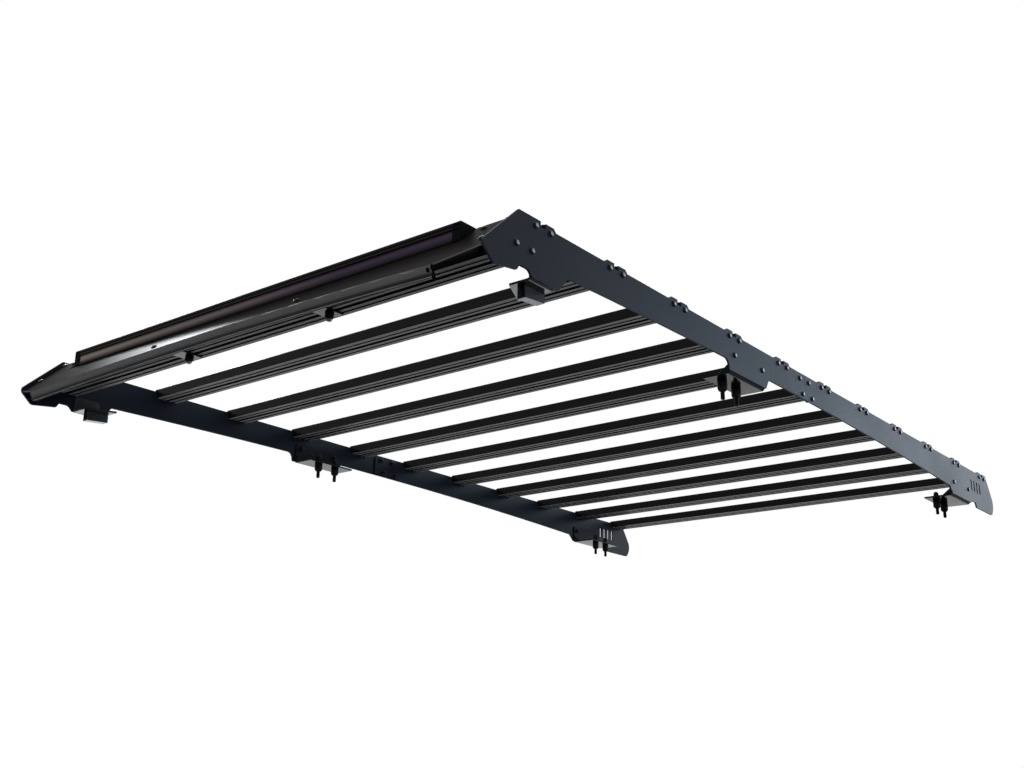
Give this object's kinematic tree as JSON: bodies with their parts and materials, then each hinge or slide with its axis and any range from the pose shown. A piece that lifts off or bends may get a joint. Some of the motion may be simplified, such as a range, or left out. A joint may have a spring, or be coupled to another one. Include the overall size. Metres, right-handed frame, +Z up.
{
  "type": "flat platform roof rack",
  "caption": "Flat vehicle roof rack: slotted cross slats bolted between plate side rails, with a sloped wind fairing and a light bar in front and stud feet below.",
  "frame": {"origin": "on the floor under the rear stud tips, in the middle of the whole length and width", "axes": "+X to the vehicle's left, -Y to the vehicle's front, +Z up"},
  "size_m": [1.218, 2.2638, 0.1408],
  "materials": {
    "rail_coat": "satin black powder coat",
    "slat_coat": "satin black powder coat on extrusion",
    "bracket_coat": "satin black powder coat",
    "stud_black": "black zinc",
    "fairing_coat": "semi-gloss black powder coat",
    "edge_rubber": "matt black",
    "light_housing": "satin black",
    "light_lens": "dark tinted, glossy"
  },
  "bodies": {
    "root": {"fairing_edge_trim": "edge_rubber", "front_lower_slat": "slat_coat", "left_fairing_bracket": "bracket_coat", "left_front_foot_block": "bracket_coat", "left_front_foot_bracket": "bracket_coat", "left_light_bar_bracket": "bracket_coat", "left_light_bar_end_cap": "light_housing", "left_mid_foot_bracket": "bracket_coat", "left_mid_foot_studs": "stud_black", "left_rail_front": "rail_coat", "left_rail_rear": "rail_coat", "left_rear_foot_bracket": "bracket_coat", "left_rear_foot_studs": "stud_black", "left_splice_plate": "rail_coat", "light_bar_housing": "light_housing", "light_bar_lens": "light_lens", "right_fairing_bracket": "bracket_coat", "right_front_foot_block": "bracket_coat", "right_front_foot_bracket": "bracket_coat", "right_light_bar_bracket": "bracket_coat", "right_light_bar_end_cap": "light_housing", "right_mid_foot_bracket": "bracket_coat", "right_mid_foot_studs": "stud_black", "right_rail_front": "rail_coat", "right_rail_rear": "rail_coat", "right_rear_foot_bracket": "bracket_coat", "right_rear_foot_studs": "stud_black", "right_splice_plate": "rail_coat", "slat_01": "slat_coat", "slat_02": "slat_coat", "slat_03": "slat_coat", "slat_04": "slat_coat", "slat_05": "slat_coat", "slat_06": "slat_coat", "slat_07": "slat_coat", "slat_08": "slat_coat", "slat_09": "slat_coat", "slat_10": "slat_coat", "slat_11": "slat_coat", "wind_fairing": "fairing_coat"}
  },
  "joints": []
}
